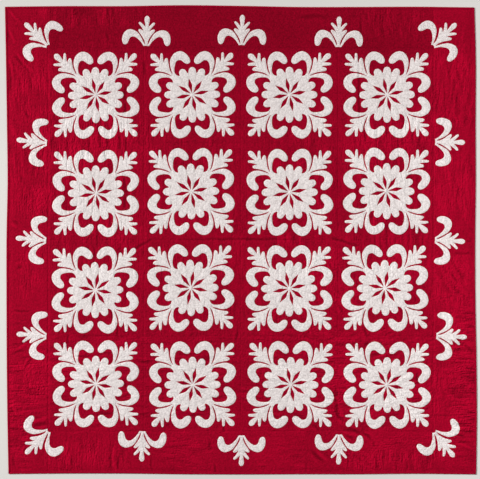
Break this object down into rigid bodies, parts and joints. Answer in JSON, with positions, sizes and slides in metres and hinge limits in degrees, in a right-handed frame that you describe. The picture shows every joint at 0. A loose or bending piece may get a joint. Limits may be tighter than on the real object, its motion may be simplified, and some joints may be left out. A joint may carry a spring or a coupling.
{
  "type": "tivaevae quilt",
  "caption": "Red cotton bed quilt laid flat, with white cut-out rosette and leaf applique on square blocks, leaf sprigs on a plain border, and a narrow red binding.",
  "frame": {"origin": "centre of the underside, where the quilt lies on a surface", "axes": "+Z out of the face, +X to the quilt's right, +Y to its top edge"},
  "size_m": [2.162, 2.149, 0.0051],
  "materials": {
    "quilted_red_cotton": "matt plain-weave cotton, hand quilted",
    "binding_red_cotton": "matt plain-weave cotton, folded and hemmed",
    "white_cotton": "matt off-white plain-weave cotton, needle-turned and hemmed"
  },
  "bodies": {
    "root": {"ground_cloth": "quilted_red_cotton", "binding_left": "binding_red_cotton", "binding_right": "binding_red_cotton", "binding_top": "binding_red_cotton", "binding_bottom": "binding_red_cotton", "motif_1_1": "white_cotton", "motif_1_2": "white_cotton", "motif_1_3": "white_cotton", "motif_1_4": "white_cotton", "motif_2_1": "white_cotton", "motif_2_2": "white_cotton", "motif_2_3": "white_cotton", "motif_2_4": "white_cotton", "motif_3_1": "white_cotton", "motif_3_2": "white_cotton", "motif_3_3": "white_cotton", "motif_3_4": "white_cotton", "motif_4_1": "white_cotton", "motif_4_2": "white_cotton", "motif_4_3": "white_cotton", "motif_4_4": "white_cotton", "sprig_corner_top_left": "white_cotton", "sprig_top_left": "white_cotton", "sprig_top_middle": "white_cotton", "sprig_top_right": "white_cotton", "sprig_corner_top_right": "white_cotton", "sprig_left_upper": "white_cotton", "sprig_left_middle": "white_cotton", "sprig_left_lower": "white_cotton", "sprig_right_upper": "white_cotton", "sprig_right_middle": "white_cotton", "sprig_right_lower": "white_cotton", "sprig_corner_bottom_left": "white_cotton", "sprig_bottom_left": "white_cotton", "sprig_bottom_middle": "white_cotton", "sprig_bottom_right": "white_cotton", "sprig_corner_bottom_right": "white_cotton"}
  },
  "joints": []
}
